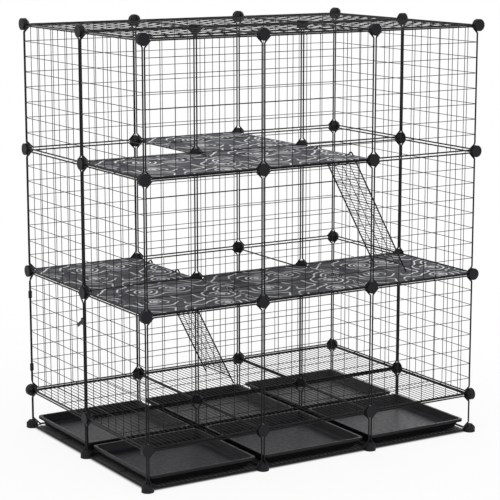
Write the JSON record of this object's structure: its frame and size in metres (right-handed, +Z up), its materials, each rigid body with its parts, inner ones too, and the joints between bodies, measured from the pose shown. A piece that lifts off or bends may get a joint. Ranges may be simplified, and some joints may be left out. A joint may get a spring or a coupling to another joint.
{
  "type": "small animal cage",
  "caption": "Multi-tier wire grid cage for small animals, with round corner connectors, shelves with mats, hook-on ramps, a side door and slide-out trays under a raised floor.",
  "frame": {"origin": "on the ground under the middle of the cage", "axes": "+X along the wide front to the right, -Y out of the front, +Z up"},
  "size_m": [1.0836, 0.7334, 1.1777],
  "materials": {
    "wire_black": "satin black powder coat",
    "connector_plastic": "moulded satin",
    "clip_plastic": "moulded satin",
    "tray_plastic": "fine leather grain",
    "mat_grey": "printed wood-grain lines"
  },
  "bodies": {
    "cage": {"back_panels_tier_1": "wire_black", "back_panels_tier_2": "wire_black", "back_panels_tier_3": "wire_black", "base_panels": "wire_black", "connectors_floor": "connector_plastic", "connectors_lower_shelf": "connector_plastic", "connectors_roof": "connector_plastic", "connectors_upper_shelf": "connector_plastic", "divider_frames_tier_1": "wire_black", "divider_frames_tier_2": "wire_black", "divider_frames_tier_3": "wire_black", "door_hinge_clips": "clip_plastic", "feet": "connector_plastic", "floor_panels": "wire_black", "front_panel_left_tier_1": "wire_black", "front_panel_left_tier_2": "wire_black", "front_panel_left_tier_3": "wire_black", "front_panel_middle_tier_1": "wire_black", "front_panel_middle_tier_2": "wire_black", "front_panel_middle_tier_3": "wire_black", "front_panel_right_tier_1": "wire_black", "front_panel_right_tier_2": "wire_black", "front_panel_right_tier_3": "wire_black", "left_panel_front_tier_1": "wire_black", "left_panels_tier_2": "wire_black", "left_panels_tier_3": "wire_black", "leg_frames_back": "wire_black", "leg_frames_front": "wire_black", "leg_frames_left": "wire_black", "leg_frames_middle": "wire_black", "leg_frames_right": "wire_black", "mat_lower_left_back": "mat_grey", "mat_lower_left_front": "mat_grey", "mat_lower_middle_front": "mat_grey", "mat_lower_right_front": "mat_grey", "mat_upper_left_front": "mat_grey", "mat_upper_middle_back": "mat_grey", "mat_upper_middle_front": "mat_grey", "right_panels_tier_1": "wire_black", "right_panels_tier_2": "wire_black", "right_panels_tier_3": "wire_black", "roof_panels": "wire_black", "shelf_lower_left_back": "wire_black", "shelf_lower_left_front": "wire_black", "shelf_lower_middle_front": "wire_black", "shelf_lower_right_front": "wire_black", "shelf_upper_left_front": "wire_black", "shelf_upper_middle_back": "wire_black", "shelf_upper_middle_front": "wire_black", "side_frame_tier_1": "wire_black"},
    "door": {"door": "wire_black", "door_catch": "clip_plastic"},
    "upper_ramp": {"upper_ramp": "wire_black"},
    "lower_ramp": {"lower_ramp": "wire_black"},
    "tray_left_front": {"tray_left_front": "tray_plastic"},
    "tray_left_back": {"tray_left_back": "tray_plastic"},
    "tray_middle_front": {"tray_middle_front": "tray_plastic"},
    "tray_middle_back": {"tray_middle_back": "tray_plastic"},
    "tray_right_front": {"tray_right_front": "tray_plastic"},
    "tray_right_back": {"tray_right_back": "tray_plastic"}
  },
  "joints": [
    {"name": "door_hinge", "type": "hinge", "parent": "cage", "child": "door", "pos_m": [-0.525, 0.346, 0.286], "axis": [0, 0, -1], "range_deg": [0, 105]},
    {"name": "upper_ramp_hook", "type": "hinge", "parent": "cage", "child": "upper_ramp", "pos_m": [0.171, -0.175, 0.811], "axis": [0, -1, 0], "range_deg": [0, 20]},
    {"name": "lower_ramp_hook", "type": "hinge", "parent": "cage", "child": "lower_ramp", "pos_m": [-0.179, 0.175, 0.461], "axis": [0, -1, 0], "range_deg": [0, 20]},
    {"name": "tray_slide_left_front", "type": "slide", "parent": "cage", "child": "tray_left_front", "axis": [0, -1, 0], "range_m": [0, 0.3]},
    {"name": "tray_slide_left_back", "type": "slide", "parent": "cage", "child": "tray_left_back", "axis": [0, 1, 0], "range_m": [0, 0.3]},
    {"name": "tray_slide_middle_front", "type": "slide", "parent": "cage", "child": "tray_middle_front", "axis": [0, -1, 0], "range_m": [0, 0.3]},
    {"name": "tray_slide_middle_back", "type": "slide", "parent": "cage", "child": "tray_middle_back", "axis": [0, 1, 0], "range_m": [0, 0.3]},
    {"name": "tray_slide_right_front", "type": "slide", "parent": "cage", "child": "tray_right_front", "axis": [0, -1, 0], "range_m": [0, 0.3]},
    {"name": "tray_slide_right_back", "type": "slide", "parent": "cage", "child": "tray_right_back", "axis": [0, 1, 0], "range_m": [0, 0.3]}
  ]
}
